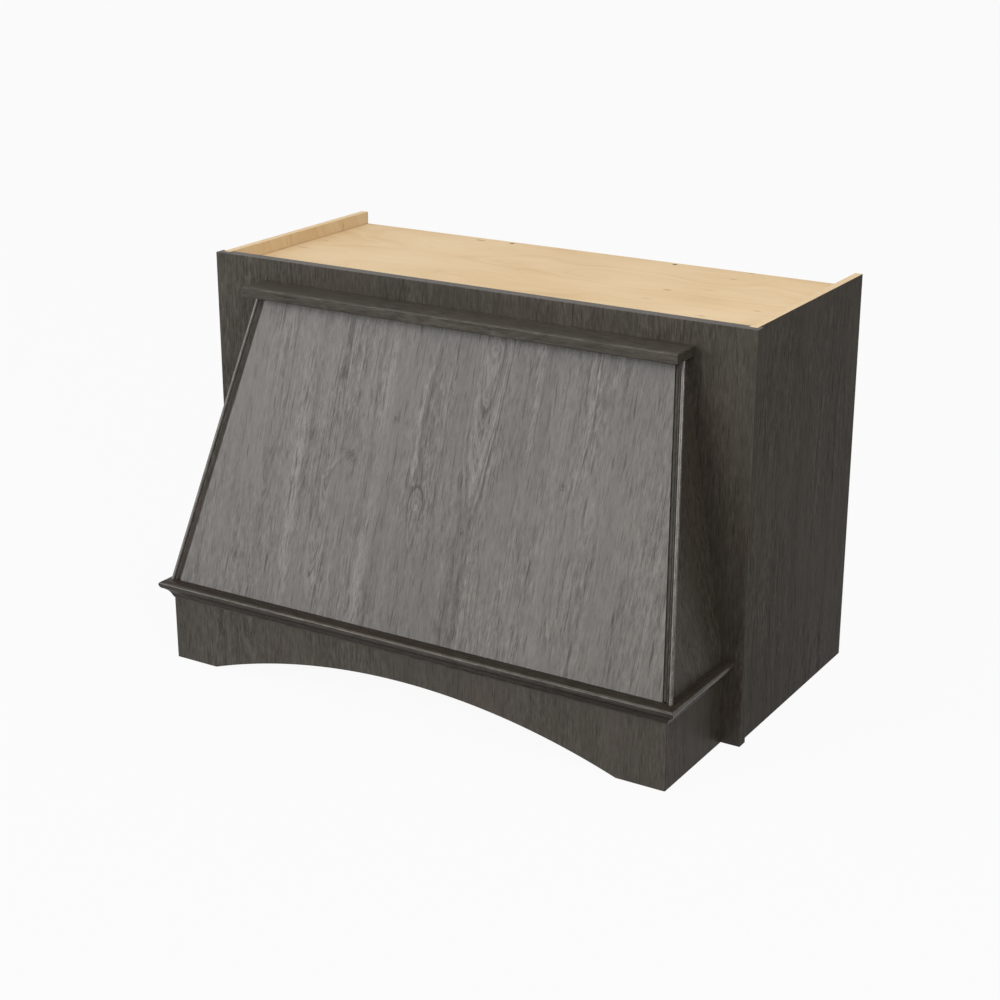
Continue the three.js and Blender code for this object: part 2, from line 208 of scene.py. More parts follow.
def makeHeart():
    tree, given, result = newGroup(
        "heart", "ShaderNodeTree",
        {"Across": 0.0, "Along": 0.0, "Centre": 0.0, "Width": 0.045, "Start": 0.0, "End": 0.2,
         "Close": 0.3, "Spread": 0.04, "Nearest": 10.0, "Lift": 0.0, "Weight": 0.0},
        ("Nearest", "Lift", "Weight"))
    off = addMath(tree, "ABSOLUTE", minus(tree, given["Across"], given["Centre"]))
    rounded = addMath(tree, "SQRT", timesPlus(tree, off, off, heartLook["tip"]))
    climb = addRemap(tree, given["Along"], given["Start"], given["End"], 0.0, given["Spread"])
    fall = addRemap(tree, given["Along"], given["End"], given["Close"], 0.0, given["Spread"])
    height = minus(tree, climb, fall)
    core = times(tree, given["Width"], heartLook["core"])
    reach = addRemap(tree, off, given["Width"], core, smooth=True)
    rise = addMath(tree, "DIVIDE", height, given["Spread"])
    weight = times(tree, reach, addRemap(tree, rise, 0.0, heartLook["entry"]))
    feed(tree, result["Nearest"], addMath(tree, "MINIMUM", rounded, given["Nearest"]))
    feed(tree, result["Lift"], timesPlus(tree, height, reach, given["Lift"]))
    feed(tree, result["Weight"], addMath(tree, "MAXIMUM", weight, given["Weight"]))
    return tree


knotLook = {
    "noise": (320.0, 3.0, 0.8),
    "ragged": 5.0,  # how far the noise breaks up the rim
    "rim": 2.2,
    "parting": 0.6,  # keeps the lines from parting too sharply at the middle
}


def makeKnot():
    tree, given, result = newGroup(
        "knot", "ShaderNodeTree",
        {"Vector": "Vector", "Centre": "Vector", "Radius": 0.01, "Squeeze": 0.4,
         "Parting": 1.0, "Darkness": 0.6, "Lift": 0.0, "Core": 0.0},
        ("Lift", "Core"))
    rough = addNoise(tree, given["Vector"], *knotLook["noise"])
    away = addVectorMath(tree, "SUBTRACT", given["Vector"], given["Centre"])
    off, depth, up = addNode(tree, "ShaderNodeSeparateXYZ", {0: away})
    along = times(tree, up, given["Squeeze"])
    square = timesPlus(tree, off, off, times(tree, along, along))
    share = addMath(tree, "DIVIDE", square, times(tree, given["Radius"], given["Radius"]))
    part = addMath(tree, "DIVIDE", times(tree, off, given["Parting"]),
                   plus(tree, share, knotLook["parting"]))
    ragged = timesPlus(tree, rough, knotLook["ragged"], minus(tree, share, knotLook["rim"]))
    core = times(tree, addRemap(tree, ragged, 1.0, 0.2, smooth=True), given["Darkness"])
    feed(tree, result["Lift"], plus(tree, given["Lift"], part))
    feed(tree, result["Core"], addMath(tree, "MAXIMUM", core, given["Core"]))
    return tree


# A vein is one long line with a neighbour of the other tone, bowed between its two ends

veinLook = {
    "neighbourAt": 1.4,  # in widths of the line
    "neighbourReach": 1.2,
    "fading": 0.35,  # power of the fade towards the ends
}


def makeVein():
    tree, given, result = newGroup(
        "vein", "ShaderNodeTree",
        {"Across": 0.0, "Along": 0.0, "Foot": 0.0, "Head": 0.0, "Start": 0.0, "End": 0.4,
         "Bow": 0.0, "Width": 0.004, "Beside": 0.8, "Strength": 0.2, "Tone": 0.0},
        ("Tone",))
    share = addRemap(tree, given["Along"], given["Start"], given["End"])
    bell = times(tree, times(tree, share, 4.0), minus(tree, 1.0, share))
    middle = timesPlus(tree, bell, given["Bow"],
                       addRemap(tree, share, 0.0, 1.0, given["Foot"], given["Head"]))
    off = addMath(tree, "DIVIDE", minus(tree, given["Across"], middle), given["Width"])
    light = addRemap(tree, addMath(tree, "ABSOLUTE", off), 1.0, 0.0, smooth=True)
    beside = addMath(tree, "ABSOLUTE", minus(tree, off, veinLook["neighbourAt"]))
    shade = addRemap(tree, beside, veinLook["neighbourReach"], 0.0, smooth=True)
    line = minus(tree, light, times(tree, shade, given["Beside"]))
    present = addMath(tree, "POWER", bell, veinLook["fading"])
    tone = times(tree, times(tree, line, present), given["Strength"])
    feed(tree, result["Tone"], plus(tree, tone, given["Tone"]))
    return tree


# Noises of the figure: squeeze along the grain, scale, detail and roughness, then the two
# values that become 0 and 1
figureNoise = {
    "Streaks": (0.32, 130.0, 3.0, 0.75, 0.28, 0.72),
    "Fibre": (0.17, 330.0, 3.0, 0.70, 0.30, 0.70),
    "Pores": (0.05, 560.0, 1.0, 0.50, 0.57, 0.66),
    "Patch": (0.40, 9.0, 2.0, 0.50, 0.32, 0.68),
    "Fade": (0.30, 14.0, 1.0, 0.50, 0.35, 0.65),
    "Bands": (0.05, 55.0, 3.0, 0.60, 0.30, 0.70),
}
rippleDepth = 0.026


def makeOakFigure():
    tree, given, result = newGroup(
        "oakFigure", "ShaderNodeTree",
        {"Vector": "Vector", "Across": 0.0, "Fold": 0.2, "Lines": 90.0},
        ("Lines", *figureNoise))
    vector = given["Vector"]
    folds = addNoise(tree, drawnOut(tree, vector, 0.15), 5.0, 1.0)
    ripples = addNoise(tree, drawnOut(tree, vector, 0.22), 30.0, 2.0)
    field = plus(tree, given["Across"], swing(tree, folds, given["Fold"]))
    field = plus(tree, field, swing(tree, ripples, rippleDepth))
    place = times(tree, field, given["Lines"])
    lines = addNoise(tree, place, 1.0, 4.0, 0.68, line=True)
    parts = {"Lines": addRemap(tree, lines, 0.28, 0.72)}
    for name, (squeeze, scale, detail, roughness, low, high) in figureNoise.items():
        noise = addNoise(tree, drawnOut(tree, vector, squeeze), scale, detail, roughness)
        parts[name] = addRemap(tree, noise, low, high)
    earlyWood = addRemap(tree, lines, 0.56, 0.40, 0.25, 1.0)
    parts["Pores"] = times(tree, parts["Pores"], earlyWood)
    for name, part in parts.items():
        feed(tree, result[name], part)
    return tree


heart = makeHeart()
knot = makeKnot()
vein = makeVein()
oakFigure = makeOakFigure()


def acrossBoard(tree, vector):
    x, y, z = addNode(tree, "ShaderNodeSeparateXYZ", {0: vector})
    return x, z, plus(tree, x, y)


oakStain = {
    "shade": (0.0140, 0.0105, 0.0080),  # stain in the deepest lines
    "body": (0.0389, 0.0332, 0.0255),
    "light": (0.0800, 0.0660, 0.0550),  # raised wood between the lines
    "brown": (0.0480, 0.0330, 0.0275),  # warmer patches
    "wearAndHighlight": (0.130, 0.105, 0.085),  # thin stain on the boards' worn arrises, and painted highlight on the crests of the mouldings
    "linePull": 0.17,
    "heartPull": 0.44,
    "streakPull": 0.23,
    "fibrePull": 0.38,
    "patchPull": 0.08,
    "bandPull": 0.13,
    "heartSlope": 0.3,  # keeps the two sides of a heart from matching
    "streakRuffle": 6 * mm,  # how far the veins are ruffled sideways
    "patchRuffle": 8 * mm,
    "brownShare": 0.30,
    "poreShade": 0.60,
    "roughLow": 0.36,
    "roughHigh": 0.54,
    "shineLow": 0.55,  # share of a piece's specular level in the dark lines
    "shineHigh": 1.35,
    "wearAndHighlightShare": 0.16,
    "hollowPaintedShade": 0.50,  # painted shade in the hollows of the mouldings and on the top of the base moulding's nose
    # share of the specular level kept where shade is painted, so that these parts reflect less too
    "hollowShadeShine": 0.25,
    "bump": (0.15, 0.25 * mm),
}


def stainedOak(name, turn, shift, fold=0.2, lines=120.0, shine=0.5, polish=1.0, hearts=(),
               knots=(), veins=()):
    look = oakStain
    material, tree, shader = newMaterial(name)
    vector = boardSpace(tree, turn, shift)
    aside, along, across = acrossBoard(tree, vector)
    nearest, lift, weight, core = 10.0, 0.0, 0.0, 0.0
    for centre, width, start, end, close, spread in hearts:
        risen = addGroup(tree, heart, Across=aside, Along=along, Centre=centre, Width=width,
                         Start=start, End=end, Close=close, Spread=spread, Nearest=nearest,
                         Lift=lift, Weight=weight)
        nearest, lift, weight = risen["Nearest"], risen["Lift"], risen["Weight"]
    for centre, radius, squeeze, parting, darkness in knots:
        spot = addGroup(tree, knot, Vector=vector, Centre=centre, Radius=radius, Squeeze=squeeze,
                        Parting=parting, Darkness=darkness, Lift=lift, Core=core)
        lift, core = spot["Lift"], spot["Core"]
    if hearts:
        across = timesPlus(tree, aside, look["heartSlope"], nearest)
    across = minus(tree, across, lift)
    oak = addGroup(tree, oakFigure, Vector=vector, Across=across, Fold=fold, Lines=lines)

    clearness = times(tree, oak["Fade"], look["linePull"])
    clearness = timesPlus(tree, weight, look["heartPull"], clearness)
    tone = plus(tree, swing(tree, oak["Lines"], clearness),
                swing(tree, oak["Streaks"], look["streakPull"]))
    tone = plus(tree, tone, swing(tree, oak["Fibre"], look["fibrePull"]))
    busy = addRemap(tree, oak["Fade"], 0.0, 1.0, 0.6, 1.4)  # calm and busy parts of the board
    tone = times(tree, tone, busy)
    tone = plus(tree, tone, swing(tree, oak["Patch"], look["patchPull"]))
    tone = plus(tree, tone, swing(tree, oak["Bands"], look["bandPull"]))
    tone = plus(tree, tone, 0.5)
    ruffled = timesPlus(tree, oak["Streaks"], look["streakRuffle"], aside)
    ruffled = timesPlus(tree, oak["Patch"], look["patchRuffle"], ruffled)
    broken = times(tree, addRemap(tree, oak["Fade"], 0.0, 1.0, 0.3, 1.3),
                   addRemap(tree, oak["Fibre"], 0.2, 0.8, 0.5, 1.5))
    for foot, head, start, end, bow, width, beside, strength in veins:
        tone = addGroup(tree, vein, Across=ruffled, Along=along, Foot=foot, Head=head,
                        Start=start, End=end, Bow=bow, Width=width, Beside=beside, Tone=tone,
                        Strength=times(tree, broken, strength))["Tone"]

    colour = addRamp(tree, tone, ((0.0, look["shade"]), (0.5, look["body"]), (1.0, look["light"])))
    browning = addRemap(tree, oak["Patch"], 0.45, 0.9, 0.0, look["brownShare"])
    colour = addColourMix(tree, browning, colour, look["brown"])
    dark = times(tree, oak["Pores"], look["poreShade"])
    if knots:
        dark = addMath(tree, "MAXIMUM", dark, core)
    arris = addNode(tree, "ShaderNodeAttribute", {}, attribute_name="arris")["Fac"]
    # below zero, the arris attribute paints shade into the mouldings' hollows
    hollow = addRemap(tree, arris, 0.0, -1.0)
    dark = addMath(tree, "MAXIMUM", dark, times(tree, hollow, look["hollowPaintedShade"]))
    colour = addColourMix(tree, dark, colour, look["shade"])
    # wear on the boards' eased arrises, and painted highlight on the mouldings' crests
    wearAndPaintedLight = times(tree, addRemap(tree, arris, 0.0, 1.0), oak["Fibre"])
    colour = addColourMix(tree, times(tree, wearAndPaintedLight, look["wearAndHighlightShare"]), colour, look["wearAndHighlight"])
    feed(tree, shader.inputs["Base Color"], colour)

    dullness = plus(tree, times(tree, dark, 0.5), times(tree, oak["Fibre"], 0.5))
    feed(tree, shader.inputs["Roughness"],
         addRemap(tree, dullness, 0.0, 1.0, polish * look["roughLow"], polish * look["roughHigh"]))
    gloss = addRemap(tree, minus(tree, tone, times(tree, dark, 0.4)), 0.15, 0.85,
                     shine * look["shineLow"], shine * look["shineHigh"])
    # the parts with painted shade also reflect less
    shadeShineShare = addRemap(tree, hollow, 0.0, 1.0, 1.0, look["hollowShadeShine"])
    feed(tree, shader.inputs["Specular IOR Level"], times(tree, gloss, shadeShineShare))
    addBump(tree, shader, minus(tree, times(tree, tone, 0.5), oak["Pores"]), *look["bump"])
    return material


quarter = math.pi / 2
frontTurn = math.atan(frontLean)  # the sloped panel's lean, from upright

faceOak = stainedOak("face_oak", (0, 0, 0), (0.31, 0.2, 0.7), fold=0.16, shine=0.22)
apronOak = stainedOak("apron_oak", (0, 0, 0), (1.93, 0.5, 2.2), fold=0.12, lines=100.0, shine=0.3,
                      hearts=((1.645, 0.024, 2.140, 2.320, 3.700, -0.050),
                              (1.759, 0.024, 2.230, 2.318, 3.700, 0.030),
                              (2.303, 0.020, 2.250, 2.318, 3.700, 0.022)))
returnOak = stainedOak("return_oak", (0, 0, quarter), (0.7, 1.2, 0.9), shine=0.05)
boxSideOak = stainedOak("box_side_oak", (0, 0, quarter), (2.6, 0.3, 3.1), fold=0.16, shine=0.025)
canopySideOak = stainedOak("canopy_side_oak", (0, 0, quarter), (3.9, 2.1, 1.4), shine=0.12)
railOak = stainedOak("moulding_oak", (0, quarter, 0), (0.4, 2.7, 1.7), lines=160.0, shine=0.36,
                     polish=0.6)
returnRailOak = stainedOak("moulding_return_oak", (quarter, 0, 0), (1.1, 0.2, 4.4), lines=160.0,
                           shine=0.3, polish=0.6)
cornerOak = stainedOak("corner_oak", (frontTurn, 0, 0), (5.2, 1.5, 0.3), lines=160.0, shine=0.6,
                       polish=0.65)
capOak = stainedOak("cap_oak", (0, quarter, 0), (2.2, 3.3, 0.6), shine=0.24)

# Figure of the sloped panel, as X on the panel and distance up its slope from the moulding.
# A heart is: X, width, start, end, close, spread. A knot is: X, place, radius, squeeze,
# parting and darkness. A vein is: X at its foot and head, start, end, bow, width, share of
# the neighbour, strength (below zero where the line is dark and its neighbour light)
panelLook = {
    "shift": (7.3, 0.0, 2.0),
    "shine": 0.55,
    "fold": 0.10,
    "lines": 105.0,
    "hearts": (
        (0.070, 0.050, 0.180, 0.430, 0.520, 0.060),
        (-0.017, 0.026, 0.110, 0.195, 0.222, 0.016),
        (-0.290, 0.036, 0.120, 0.290, 1.500, 0.050),
        (-0.180, 0.026, 0.020, 0.240, 1.500, 0.060),
    ),
    "knots": (
        (-0.145, 0.243, 0.012, 0.80, 1.0, 0.60),
        (-0.160, 0.247, 0.008, 1.00, 0.0, 0.45),
        (-0.137, 0.234, 0.007, 0.70, 0.0, 0.40),
        (-0.015, 0.195, 0.010, 0.35, 0.0, 0.25),
        (-0.078, 0.306, 0.0045, 0.55, 0.0, 0.60),
        (0.065, 0.168, 0.0050, 0.55, 0.0, 0.50),
        (0.212, 0.257, 0.0050, 0.40, 0.0, 0.50),
        (-0.323, 0.057, 0.0050, 0.40, 0.0, 0.50),
    ),
    "veins": (
        (-0.212, -0.240, -0.150, 0.600, -0.006, 0.0190, 0.20, 0.17),
        (-0.089, -0.090, -0.150, 0.600, 0.002, 0.0150, 0.30, 0.17),
        (0.158, 0.148, 0.060, 0.600, 0.000, 0.0110, 0.70, 0.17),
        (0.312, 0.318, -0.080, 0.250, 0.002, 0.0140, 0.30, 0.12),
        (0.070, 0.074, -0.120, 0.230, 0.002, 0.0190, 0.00, -0.10),
        (-0.027, -0.014, 0.215, 0.455, -0.008, 0.0045, 0.80, 0.22),
        (0.057, 0.051, 0.250, 0.460, 0.002, 0.0050, 0.60, -0.20),
        (-0.148, -0.146, 0.250, 0.450, 0.002, 0.0025, 0.80, 0.18),
        (0.245, 0.243, 0.290, 0.450, 0.002, 0.0025, 0.80, 0.22),
        (0.238, 0.226, 0.020, 0.095, 0.001, 0.0025, 0.80, -0.22),
        (-0.112, -0.108, 0.000, 0.210, 0.003, 0.0030, 0.80, 0.18),
        (-0.160, -0.150, 0.255, 0.340, 0.000, 0.0035, 0.80, 0.22),
        (-0.180, -0.148, 0.210, 0.250, 0.004, 0.0050, 0.80, 0.24),
        (-0.186, -0.164, 0.196, 0.226, 0.003, 0.0040, 0.80, 0.18),
    ),
}


def acrossPanel(x):
    return x + panelLook["shift"][0]


def upPanel(distance):  # from the moulding up the slope, in the board's own space
    height = apronTop + mouldingLap + distance * math.cos(frontTurn)
    behind = panelFoot.y + frontLean * (height - panelFoot.z)
    along = behind * math.sin(frontTurn) + height * math.cos(frontTurn)
    return along + panelLook["shift"][2]


panelOak = stainedOak(
    "panel_oak", (frontTurn, 0, 0), panelLook["shift"], shine=panelLook["shine"],
    fold=panelLook["fold"], lines=panelLook["lines"],
    hearts=[(acrossPanel(x), width, *map(upPanel, places), spread)
            for x, width, *places, spread in panelLook["hearts"]],
    knots=[((acrossPanel(x), 0.0, upPanel(place)), *rest)
           for x, place, *rest in panelLook["knots"]],
    veins=[(acrossPanel(foot), acrossPanel(head), upPanel(start), upPanel(end), *rest)
           for foot, head, start, end, *rest in panelLook["veins"]])
print("stained oak done")

mapleLook = {
    "body": (0.700, 0.520, 0.305),
    "light": (0.760, 0.590, 0.375),
    "dark": (0.600, 0.410, 0.215),
    "fleck": (0.330, 0.190, 0.085),
    "glue": (0.330, 0.215, 0.115),
    "fold": 0.3,
    "lines": 26.0,
    "wander": 0.5,  # metres, because a peeled veneer's figure wanders far
    "flecks": (62.0, 2.0),
    "fleckShade": 0.7,
    "shine": 0.15,
    "plies": 9,
}


def maple(name, turn, shift, tint=1.0):
    look = mapleLook
    material, tree, shader = newMaterial(name)
    vector = boardSpace(tree, turn, shift)
    wander = times(tree, addNoise(tree, drawnOut(tree, vector, 0.55), 5.0, 2.0), look["wander"])
    across = plus(tree, acrossBoard(tree, vector)[2], wander)
    grain = addGroup(tree, oakFigure, Vector=vector, Across=across, Fold=look["fold"],
                     Lines=look["lines"])
    tone = plus(tree, times(tree, grain["Lines"], 0.34), times(tree, grain["Fibre"], 0.18))
    tone = plus(tree, tone, times(tree, grain["Patch"], 0.38))
    tone = plus(tree, tone, 0.05)
    tinted = {key: tuple(tint * part for part in look[key]) for key in ("body", "light", "dark")}
    colour = addRamp(tree, tone, ((0.1, tinted["dark"]), (0.5, tinted["body"]),
                                  (0.9, tinted["light"])))
    flecks = addRemap(tree, addNoise(tree, drawnOut(tree, vector, 0.3), *look["flecks"]),
                      0.70, 0.78)
    colour = addColourMix(tree, times(tree, flecks, look["fleckShade"]), colour, look["fleck"])
    feed(tree, shader.inputs["Base Color"], colour)
    feed(tree, shader.inputs["Roughness"], addRemap(tree, grain["Fibre"], 0.0, 1.0, 0.48, 0.64))
    shader.inputs["Specular IOR Level"].default_value = look["shine"]
    addBump(tree, shader, grain["Fibre"], 0.10, 0.15 * mm)
    return material


def plyEdge(name, axis, low, high):  # the layers show across one axis, between its two faces
    look = mapleLook
    material, tree, shader = newMaterial(name)
    place = objectPlace(tree)
    across = addNode(tree, "ShaderNodeSeparateXYZ", {0: place})[axis]
    layer = addRemap(tree, across, low, high, 0.0, look["plies"])
    within = addMath(tree, "PINGPONG", layer, 0.5)
    glueLine = addRemap(tree, within, 0.07, 0.0, smooth=True)
    crossed = addMath(tree, "GREATER_THAN", addMath(tree, "PINGPONG", layer, 1.0), 0.5)
    endGrain = addNoise(tree, place, 1400.0, 2.0)
    longGrain = addNoise(tree, place, 160.0, 3.0)
    tone = timesPlus(tree, crossed, -0.28, addRemap(tree, endGrain, 0.3, 0.7, 0.3, 0.8))
    tone = plus(tree, tone, addRemap(tree, longGrain, 0.3, 0.7, 0.0, 0.35))
    colour = addRamp(tree, tone, ((0.0, look["dark"]), (0.5, look["body"]), (1.0, look["light"])))
    colour = addColourMix(tree, times(tree, glueLine, 0.6), colour, look["glue"])
    feed(tree, shader.inputs["Base Color"], colour)
    feed(tree, shader.inputs["Roughness"], addRemap(tree, endGrain, 0.3, 0.7, 0.6, 0.8))
    addBump(tree, shader, minus(tree, endGrain, glueLine), 0.2, 0.2 * mm)
    return material


deckMaple = maple("deck_maple", (0, quarter, 0), (0.3, 1.0, 0.2))
sideMaple = maple("side_maple", (0, 0, quarter), (1.3, 0.4, 0.8))
backMaple = maple("back_maple", (0, 0, 0), (2.3, 0.4, 1.8), tint=0.92)
leftPly, rightPly = (
    plyEdge("ply_edge_" + side, "X", *(corner.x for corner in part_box("side_panel_" + side)))
    for side in ("left", "right"))
deckPly = plyEdge("ply_edge_deck", "Z", *(corner.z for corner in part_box("top_deck")))
facePly = plyEdge("ply_edge_face", "Y", *(corner.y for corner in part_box("face_panel")))
print("maple plywood done")

poplarLook = {
    "dark": (0.420, 0.330, 0.190),
    "body": (0.560, 0.460, 0.290),
    "light": (0.660, 0.570, 0.390),
    "green": (0.400, 0.390, 0.220),  # heartwood
    "fold": 0.35,
    "lines": 60.0,
}


def poplar(name, turn, shift):
    look = poplarLook
    material, tree, shader = newMaterial(name)
    vector = boardSpace(tree, turn, shift)
    grain = addGroup(tree, oakFigure, Vector=vector, Across=acrossBoard(tree, vector)[2],
                     Fold=look["fold"], Lines=look["lines"])
    tone = plus(tree, times(tree, grain["Lines"], 0.6), times(tree, grain["Fibre"], 0.4))
    colour = addRamp(tree, tone, ((0.15, look["dark"]), (0.5, look["body"]),
                                  (0.85, look["light"])))
    heartwood = addRemap(tree, grain["Patch"], 0.55, 0.95, 0.0, 0.6)
    colour = addColourMix(tree, heartwood, colour, look["green"])
    feed(tree, shader.inputs["Base Color"], colour)
    feed(tree, shader.inputs["Roughness"], addRemap(tree, grain["Fibre"], 0.0, 1.0, 0.55, 0.72))
    addBump(tree, shader, grain["Fibre"], 0.2, 0.2 * mm)
    return material


poplarAlongX = poplar("poplar_along_x", (0, quarter, 0), (0.5, 0.1, 0.9))
poplarAlongY = poplar("poplar_along_y", (quarter, 0, 0), (1.5, 2.1, 0.4))
poplarAlongZ = poplar("poplar_along_z", (0, 0, 0), (2.5, 1.1, 1.9))


def blackSteel():
    material, tree, shader = newMaterial("black_oxide_steel")
    speckle = addNoise(tree, objectPlace(tree), 900.0, 3.0)
    colour = addRamp(tree, speckle, ((0.35, (0.018, 0.018, 0.019)), (0.6, (0.040, 0.039, 0.038)),
                                     (0.75, (0.110, 0.105, 0.100))))
    feed(tree, shader.inputs["Base Color"], colour)
    shader.inputs["Metallic"].default_value = 0.7
    feed(tree, shader.inputs["Roughness"], addRemap(tree, speckle, 0.3, 0.7, 0.35, 0.6))
    addBump(tree, shader, speckle, 0.15, 0.1 * mm)
    return material


screwSteel = blackSteel()
print("poplar and steel done")


# Boards: a merged copy of the CAD solid with its arrises eased

boardEase = {"shown": 0.8 * mm, "plywood": 0.4 * mm, "rails": 1.0 * mm}
boardLook = {
    "crease": math.radians(38),  # sharper than this, an edge stays sharp
    "arris": math.radians(30),  # sharper than this, it is eased
    "flat": math.radians(0.05),
    "weld": 0.01 * mm,
    "segments": 3,
    "cutOutMargin": 5 * mm,  # from the board's ends, where its outer edges are
}


def addPiece(name, mesh, slot, *replaced):
    piece = bpy.data.objects.new(name, mesh)
    scene.collection.objects.link(piece)
    mesh.shade_smooth()
    mesh.set_sharp_from_angle(angle=boardLook["crease"])
    piece.modifiers.new("faces stay flat", "WEIGHTED_NORMAL").keep_sharp = True
    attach(piece, "root")
    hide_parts(*replaced)
    return piece


def easedBoard(name, slot, materials, ease, ruled=(), opening=None):
    look = boardLook
    low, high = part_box(name)
    solid = bmesh.new()
    solid.from_mesh(nodes[name].data)
    bmesh.ops.remove_doubles(solid, verts=solid.verts, dist=look["weld"])
    bmesh.ops.dissolve_limit(solid, angle_limit=look["flat"], verts=solid.verts,
                             edges=solid.edges)
    for face in solid.faces:
        face.material_index = 0
        for index, direction in ruled:
            if face.normal.dot(direction) > 0.8:
                face.material_index = index
        if opening and abs(face.normal.y) < 0.5:  # the raw edges of a cut-out
            middle = face.calc_center_median()
            inside = abs(middle.x) < high.x - look["cutOutMargin"]
            if inside and low.z + mm < middle.z < high.z - mm:
                face.material_index = opening
    arrises = [edge for edge in solid.edges if edge.calc_face_angle(0) > look["arris"]]
    eased = bmesh.ops.bevel(solid, geom=arrises, offset=ease, offset_type="OFFSET",
                            segments=look["segments"], profile=0.5, affect="EDGES",
                            clamp_overlap=True, material=-1)
    arris = solid.loops.layers.float.new("arris")
    for face in eased["faces"]:
        for corner in face.loops:
            corner[arris] = 1.0
    mesh = bpy.data.meshes.new(name + "_eased")
    solid.to_mesh(mesh)
    solid.free()
    for material in materials:
        mesh.materials.append(material)
    return addPiece(name + "_eased", mesh, slot, name)


left, right = Vector((-1, 0, 0)), Vector((1, 0, 0))
front, back = Vector((0, -1, 0)), Vector((0, 1, 0))

easedBoard("face_panel", "stained_oak", (faceOak, backMaple, boxSideOak, facePly),
           boardEase["shown"], ((1, back), (2, left), (2, right)), opening=3)
easedBoard("apron_front", "stained_oak", (apronOak, backMaple), boardEase["shown"], ((1, back),))
easedBoard("canopy_front_panel", "stained_oak", (panelOak, backMaple), boardEase["plywood"],
           ((1, back),))
easedBoard("cap_board", "stained_oak", (capOak,), boardEase["shown"])
easedBoard("top_deck", "maple_ply", (deckMaple, deckPly), boardEase["plywood"],
           ((1, front), (1, back), (1, left), (1, right)))
for side, inward, outward, plyMaterial in (("left", right, left, leftPly),
                                           ("right", left, right, rightPly)):
    easedBoard("apron_return_" + side, "stained_oak", (returnOak, backMaple),
               boardEase["shown"], ((1, inward),))
    easedBoard("canopy_side_panel_" + side, "stained_oak", (canopySideOak, backMaple),
               boardEase["plywood"], ((1, inward),))
    easedBoard("side_panel_" + side, "maple_ply", (plyMaterial, sideMaple, boxSideOak),
               boardEase["plywood"], ((1, inward), (2, outward)))
    for name in ("apron_corner_block_", "apron_return_cleat_", "canopy_corner_cleat_",
                 "canopy_side_cleat_"):
        easedBoard(name + side, "poplar", (poplarAlongZ,), boardEase["rails"])
    for name in ("insert_ledge_", "insert_rail_"):
        easedBoard(name + side, "poplar", (poplarAlongY,), boardEase["rails"])
for name in ("top_hanging_rail", "bottom_hanging_rail", "insert_rail_front", "canopy_nailer"):
    easedBoard(name, "poplar", (poplarAlongX,), boardEase["rails"])
print("boards done")


# Mouldings: one tree pulls a section along its run and mitres the ends

def finishTree(tree, geometry, material, result):
    real = addNode(tree, "GeometryNodeRealizeInstances", {0: geometry})[0]
    dressed = addNode(tree, "GeometryNodeSetMaterial", {"Geometry": real, "Material": material})
    feed(tree, result[0], dressed[0])


def makeMouldingRun():
    tree, given, result = newGroup(
        "mouldingRun", "GeometryNodeTree",
        {"Section": "Geometry", "Run": "Vector", "Outward": "Vector", "Board Plane": 0.0,
         "Start Mitre": 0.0, "End Mitre": 0.0, "Wood": "Material"},
        ("Moulding",), "Geometry")
    tree.is_modifier = True
    pulled = addNode(tree, "GeometryNodeExtrudeMesh",
                     {"Mesh": given["Section"], "Offset": given["Run"], "Offset Scale": 1.0,
                      "Individual": False})["Mesh"]
    end = addNode(tree, "GeometryNodeFlipFaces", {0: given["Section"]})[0]
    both = tree.nodes.new("GeometryNodeJoinGeometry")
    for part in (end, pulled):
        tree.links.new(part, both.inputs[0])
    closed = addNode(tree, "GeometryNodeMergeByDistance",
                     {"Geometry": both.outputs[0], "Distance": 0.001 * mm})[0]
    position = tree.nodes.new("GeometryNodeInputPosition").outputs[0]
    length = addVectorMath(tree, "LENGTH", given["Run"])
    direction = addVectorMath(tree, "NORMALIZE", given["Run"])
    out = minus(tree, addVectorMath(tree, "DOT_PRODUCT", position, given["Outward"]),
                given["Board Plane"])
    along = addVectorMath(tree, "DOT_PRODUCT", position, direction)
    start = addNode(tree, "GeometryNodeAttributeStatistic",
                    {"Geometry": closed, "Attribute": along})["Min"]
    share = addMath(tree, "DIVIDE", minus(tree, along, start), length)
    startPart = times(tree, minus(tree, share, 1.0), given["Start Mitre"])
    endPart = times(tree, share, given["End Mitre"])
    stretch = times(tree, plus(tree, startPart, endPart), out)
    offset = addNode(tree, "ShaderNodeVectorMath", {0: direction, "Scale": stretch},
                     operation="SCALE")[0]
    mitred = addNode(tree, "GeometryNodeSetPosition", {"Geometry": closed, "Offset": offset})[0]
    finishTree(tree, mitred, given["Wood"], result)
    return tree


def runTree(name, mesh, tree, values):  # the tree's result as a plain mesh
    carrier = bpy.data.objects.new(name, mesh)
    scene.collection.objects.link(carrier)
    modifier = carrier.modifiers.new(tree.name, "NODES")
    modifier.node_group = tree
    for item in tree.interface.items_tree:
        if item.in_out == "INPUT" and item.name in values:
            modifier[item.identifier] = values[item.name]
    depsgraph = bpy.context.evaluated_depsgraph_get()
    made = bpy.data.meshes.new_from_object(carrier.evaluated_get(depsgraph), depsgraph=depsgraph)
    bpy.data.objects.remove(carrier)
    made.materials.pop(index=0)  # the empty slot that Set Material leaves first
    made.name = name
    return made


def sectionFace(name, points, wearAndPaintedLight):  # painted highlight at 1 on the crests, painted shade at -1 in the hollows
    mesh = bpy.data.meshes.new(name)
    mesh.from_pydata(points, [], [range(len(points))])
    arris = mesh.attributes.new("arris", "FLOAT", "POINT")
    arris.data.foreach_set("value", wearAndPaintedLight)
    return mesh


